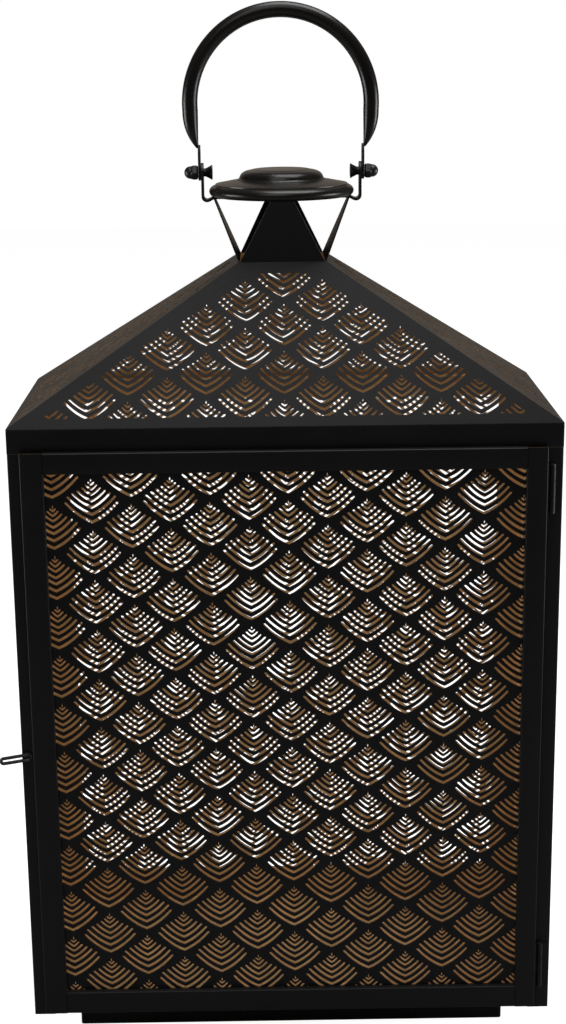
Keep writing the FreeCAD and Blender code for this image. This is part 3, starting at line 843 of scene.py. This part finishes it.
# ---------------------------------------------------------------- bail and its fittings
class LANTERN_OT_bail(Operator):
    """Round grip bent to an arc, with leaf-shaped ends that close on the flat tabs"""
    bl_idname = "lantern.bail"
    bl_label = "Bail"

    def execute(self, context):
        enamel = finish("enamel_black")
        low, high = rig.box("bail_grip")
        radius = sizes().grip / 2
        bend = high.x - radius
        centre = high.z - radius - bend
        end = math.radians(4)
        sweep = np.linspace(-end, math.pi + end, 121)
        arc = np.stack([bend * np.cos(sweep), 0 * sweep, centre + bend * np.sin(sweep)], -1)
        fall = np.linspace(0, 1, 22)[1:]
        start = arc[0]
        tip_z = low.z + 0.5 * MM
        # Below the arc the outer side falls in late and the inner side at once, to the two faces of the tab
        outer = start[0] + radius - (start[0] + radius - LEAF_OUTER) * fall ** 2.2
        inner = start[0] - radius + (LEAF_INNER - start[0] + radius) * np.sqrt(fall * (2 - fall))
        tail = np.stack([(outer + inner) / 2, 0 * fall, start[2] + (tip_z - start[2]) * fall], -1)
        taper = (outer - inner) / 2
        left = tail * (-1, 1, 1)
        path = np.concatenate([tail[::-1], arc, left])
        radii = np.concatenate([taper[::-1], np.full(len(arc), radius), taper])
        mesh_piece("bail_bar", *tube(path, radii, 32), "bail", "bail_black", enamel, replaces=["bail_grip"],
                   smooth=50)
        for side, sign in (("left", -1), ("right", 1)):
            node = "bail_tab_" + side
            low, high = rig.box(node)
            inner = min(abs(low.x), abs(high.x))
            shape = eyed_strip((high.y - low.y) / 2, SCREW_Z, high.z - 8 * MM, inner, high.x - low.x, sign)
            bevelled(mesh_piece("bail_strip_" + side, *shape, "bail", "bail_black", enamel,
                                replaces=[node], smooth=SOFT_EDGE), 0.35 * MM)
        return {"FINISHED"}


def eyed_strip(half, eye_z, top, inner, thick, sign):
    """Flat strip: the outline is a half circle about the eye, then straight up, narrower at the top."""
    a = np.linspace(math.pi, 2 * math.pi, 17)
    round_end = np.stack([half * np.cos(a), eye_z + half * np.sin(a)], -1)
    shoulder = [(half, top - 6 * MM), (half * 0.55, top), (-half * 0.55, top), (-half, top - 6 * MM)]
    outline = np.concatenate([round_end, shoulder])
    return prism(outline, (sign * inner, 0, 0), (sign * thick, 0, 0), (0, 1, 0), (0, 0, 1))


class LANTERN_OT_fittings(Operator):
    """Hanger strap, flared screws, acorn nuts and the latch loop"""
    bl_idname = "lantern.fittings"
    bl_label = "Fittings"

    def execute(self, context):
        for side, sign in (("left", -1), ("right", 1)):
            self.screw(side, sign)
            self.nut(side, sign)
        self.strap()
        self.loop()
        return {"FINISHED"}

    def turned(self, name, node, profile, segments, start, sign, smooth, limit=None):
        """Fastener turned about the screws' axis, from start outwards."""
        points, faces = lathe(profile, segments, axis="x", limit=limit)
        points = (points + (start, 0, SCREW_Z)) * (sign, 1, 1)
        mesh_piece(name, points, outward(points, faces), "body", "black_fastener", finish("fastener_black"),
                   replaces=[node], smooth=smooth)

    def screw(self, side, sign):
        """Flared head with a dished face, and a plain shank."""
        node = "bail_screw_" + side
        low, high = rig.box(node)
        head, far = sorted((abs(low.x), abs(high.x)))
        big = (high.z - low.z) / 2
        profile = [(0.2 * MM, 1.6 * MM), (1.7 * MM, 1.5 * MM), (2.2 * MM, 0.15 * MM), (big - 0.9 * MM, 0),
                   (big - 0.15 * MM, 0.25 * MM), (big, 0.7 * MM), (big - 0.5 * MM, 1.3 * MM),
                   (SHANK + 1.1 * MM, 3.0 * MM), (SHANK + 0.25 * MM, 4.6 * MM), (SHANK, FLARE_END),
                   (SHANK, far - head - 0.5 * MM), (0.2 * MM, far - head)]
        self.turned("screw_" + side, node, profile, 40, head, sign, 40)

    def nut(self, side, sign):
        """Acorn nut: a hexagonal body with a half ball on it."""
        node = "bail_nut_" + side
        low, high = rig.box(node)
        near, far = sorted((abs(low.x), abs(high.x)))
        flat, long = (high.y - low.y) / 2, far - near
        a = np.linspace(0, math.pi / 2, 12)
        ball = flat - 0.4 * MM
        dome = np.stack([ball * np.cos(a) + 0.02 * MM, long - ball + ball * np.sin(a)], -1)
        corner = flat / math.cos(math.pi / 6)
        body = [(flat * 0.9, 0), (corner, 0.9 * MM), (corner, 3.9 * MM), (flat * 0.96, 4.9 * MM),
                (ball, 5.3 * MM)]
        self.turned("nut_" + side, node, np.concatenate([body, dome]), 72, near, sign, 25,
                    limit=lambda angle: hexagon(angle, flat))

    def strap(self):
        """Rounded oblong carried along a path in XZ: under the cap, a J bend, then up to a half-round end."""
        low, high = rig.box("hanger_strap")
        half_y = high.y
        x_tab, z_run = high.x - STRAP_THICK / 2, low.z + STRAP_THICK / 2
        bend, dip = STRAP_BEND, STRAP_DIP
        a = np.linspace(-math.pi / 2, 0, 9)
        corner = np.stack([x_tab - bend + bend * np.cos(a), z_run - dip + bend + bend * np.sin(a)], -1)
        t = np.linspace(0, 1, 8)[:-1]
        slope = np.stack([x_tab - bend - 6 * MM * (1 - t), z_run - dip * t * t * (3 - 2 * t)], -1)
        corner = np.concatenate([slope, corner])
        rise = np.linspace(z_run + bend, SCREW_Z, 6)
        crown = np.linspace(0.15, 1, 9) * math.pi / 2
        top = np.stack([np.full(9, x_tab), SCREW_Z + half_y * np.sin(crown)], -1)
        right = np.concatenate([[(0, z_run)], corner, np.stack([np.full(6, x_tab), rise], -1), top])
        widths = np.concatenate([np.full(len(right) - 9, half_y), half_y * np.cos(crown) + 0.3 * MM])
        path = np.concatenate([right[:0:-1] * (-1, 1), right])
        widths = np.concatenate([widths[:0:-1], widths])
        h = STRAP_THICK / 2
        section = rounded([(-1, -h), (1, -h), (1, h), (-1, h)], [0.3 * MM] * 4, 2)
        across = np.sign(section[:, 0]) * (widths[:, None] - (1 - np.abs(section[:, 0])))
        offset = section[:, 1][None, :, None] * path_normals(path)[:, None]
        centre = path[:, None] + offset
        points = np.stack([centre[..., 0], across, centre[..., 1]], -1).reshape(-1, 3)
        mesh_piece("hanger", *shell(points, len(path), len(section)), "body", "black_paint",
                   finish("fastener_black"), replaces=["hanger_strap"], smooth=40)

    def loop(self):
        """Hairpin of round wire: two straight legs joined by a half circle, all turned about the spindle."""
        low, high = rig.box("latch_loop")
        spindle_low, spindle_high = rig.box("latch_spindle")
        wire = (high.y - low.y) / 2
        y = (low.y + high.y) / 2
        hub = (spindle_low + spindle_high) / 2
        a = np.linspace(math.pi / 2, 3 * math.pi / 2, 15)
        bow = np.stack([-LATCH_REACH + LATCH_RISE * np.cos(a), LATCH_RISE * np.sin(a)], -1)
        legs = np.linspace(1.2 * MM, -LATCH_REACH, 10)[:-1]
        upper, lower = (np.stack([along, np.full(9, height)], -1)
                        for along, height in ((legs, LATCH_RISE), (legs[::-1], -LATCH_RISE)))
        path = np.concatenate([upper, bow, lower])
        cos, sin = math.cos(LATCH_TILT), math.sin(LATCH_TILT)
        x, z = path[:, 0] * cos - path[:, 1] * sin, path[:, 0] * sin + path[:, 1] * cos
        centre = np.stack([hub.x + x, np.full(len(x), y), hub.z + z], -1)
        mesh_piece("latch_hairpin", *tube(centre, np.full(len(x), wire), 16), "latch", "black_wire",
                   finish("wire_black"), replaces=["latch_loop"], smooth=60)


def hexagon(angle, flat):
    """Radius of a hexagon at an angle: flat / cos(angle to the nearest flat's middle)."""
    sector = math.pi / 3
    return flat / np.cos((angle % sector) - sector / 2)


class LANTERN_OT_hardware(Operator):
    """Finishes for the frame's own pieces that stay as they are"""
    bl_idname = "lantern.hardware"
    bl_label = "Hardware finishes"

    def execute(self, context):
        by_slot = {"gold_paint": "antique_gold", "cap_black": "enamel_black", "bail_black": "enamel_black",
                   "black_fastener": "fastener_black", "black_wire": "wire_black"}
        for entry in frame["record"]["subparts"]:
            node = frame["nodes"][entry["node"]]
            node.data.materials.clear()
            node.data.materials.append(finish(by_slot.get(entry["material_slot"], "satin_black")))
        return {"FINISHED"}


# ---------------------------------------------------------------- stage
class LANTERN_OT_stage(Operator):
    """Pale floor, soft lights, world and camera"""
    bl_idname = "lantern.stage"
    bl_label = "Stage"

    def execute(self, context):
        scene = context.scene
        self.floor()
        self.world(scene)
        scene.view_settings.view_transform = "Standard"
        middle = Vector((0, 0, Z_EAVES * 0.6))
        for name, place, size, power in (("front_top", (-0.3, -1.7, 2.4), 1.5, 17),
                                         ("top", (0.35, 0.0, 2.6), 1.5, 60),
                                         ("left", (-1.8, -0.2, 0.35), 0.9, 26),
                                         ("right", (1.8, -0.2, 0.4), 0.9, 28)):
            self.lamp(name, Vector(place), size, power, middle)
        backdrop = self.lamp("backdrop", Vector((0.0, 2.6, 0.75)), 3.2, 8, Vector((0, 0, 0.75)))
        backdrop.data.color = (1.0, 0.80, 0.62)
        backdrop.visible_camera = False
        camera = linked("camera", bpy.data.cameras.new("camera"))
        camera.data.lens = 64.0
        camera.data.sensor_width = 36.0
        camera.data.clip_start = 0.05
        camera.location = (-0.012, -1.3716, 0.7692)
        pitch, roll, yaw = -0.26, 0.0114, -0.0076
        turn = Matrix.Rotation(yaw, 3, "Z") @ Matrix.Rotation(pitch, 3, "X") @ Matrix.Rotation(roll, 3, "Y")
        right, forward, up = turn.col
        camera.rotation_euler = Matrix((right, up, -forward)).transposed().to_euler()
        scene.camera = camera
        return {"FINISHED"}

    def floor(self):
        """Twelve metres square: white where it is looked at, mid grey where it lights the object."""
        half = 6.0
        mesh = bpy.data.meshes.new("floor")
        mesh.from_pydata([(x, y, 0) for x, y in rectangle(-half, half, -half, half)], [], [[0, 1, 2, 3]])
        floor = linked("floor", mesh)
        paint = Paint("pale_floor")
        speck = paint.noise(40.0)
        tone = paint.mix(speck, (0.30, 0.30, 0.30, 1), (0.32, 0.32, 0.32, 1))
        seen = paint.node("ShaderNodeLightPath", {}, out="Is Camera Ray")
        glow = paint.mix(seen, (0, 0, 0, 1), (0.95, 0.95, 0.95, 1))
        floor.data.materials.append(paint.set(Base_Color=tone, Emission_Color=glow, Emission_Strength=1.0,
                                              Roughness=0.9, Specular_IOR_Level=0.1))
        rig.stage(floor)

    def world(self, scene):
        """White where it is looked at, dimmer where it lights the object."""
        world = bpy.data.worlds.new("studio")
        world.use_nodes = True
        tree = world.node_tree
        background = tree.nodes["Background"]
        seen = tree.nodes.new("ShaderNodeLightPath").outputs["Is Camera Ray"]
        strength = tree.nodes.new("ShaderNodeMapRange")
        strength.inputs["To Min"].default_value = 0.09
        strength.inputs["To Max"].default_value = 1.0
        tree.links.new(seen, strength.inputs["Value"])
        tree.links.new(strength.outputs["Result"], background.inputs["Strength"])
        background.inputs["Color"].default_value = (1, 1, 1, 1)
        scene.world = world

    def lamp(self, name, place, size, power, target):
        """Square area lamp of the given size in metres and power in watts, turned to its target."""
        light = bpy.data.lights.new(name, "AREA")
        light.energy, light.size, light.shape = power, size, "SQUARE"
        lamp = linked(name, light)
        lamp.location = place
        lamp.rotation_euler = (target - place).to_track_quat("-Z", "Y").to_euler()
        return lamp


class LANTERN_PT_panel(Panel):
    """Lists the lantern's sizes, colours and pieces"""
    bl_idname = "LANTERN_PT_panel"
    bl_label = "Lantern"
    bl_space_type = "VIEW_3D"
    bl_region_type = "UI"
    bl_category = "Lantern"

    def draw(self, context):
        for group in (context.scene.lantern_sizes, context.scene.lantern_colours):
            for key in group.__annotations__:
                self.layout.prop(group, key)
        for step in STEPS:
            self.layout.operator(step.bl_idname)


STEPS = (LANTERN_OT_sheets, LANTERN_OT_roof, LANTERN_OT_body, LANTERN_OT_door, LANTERN_OT_neck, LANTERN_OT_cap,
         LANTERN_OT_bail, LANTERN_OT_fittings, LANTERN_OT_hardware, LANTERN_OT_stage)
CLASSES = (LanternSizes, LanternColours, *STEPS, LANTERN_PT_panel)


def register():
    for cls in CLASSES:
        bpy.utils.register_class(cls)
    bpy.types.Scene.lantern_sizes = PointerProperty(type=LanternSizes)
    bpy.types.Scene.lantern_colours = PointerProperty(type=LanternColours)


def unregister():
    del bpy.types.Scene.lantern_colours
    del bpy.types.Scene.lantern_sizes
    for cls in reversed(CLASSES):
        bpy.utils.unregister_class(cls)


def main():
    register()
    for step in STEPS:
        family, name = step.bl_idname.split(".")
        getattr(getattr(bpy.ops, family), name)()
    with open("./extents.json", "w") as report:
        json.dump({"cad": CAD_BOX, "visual": [list(corner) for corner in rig.bounds()]}, report)


if __name__ == "__main__":
    main()
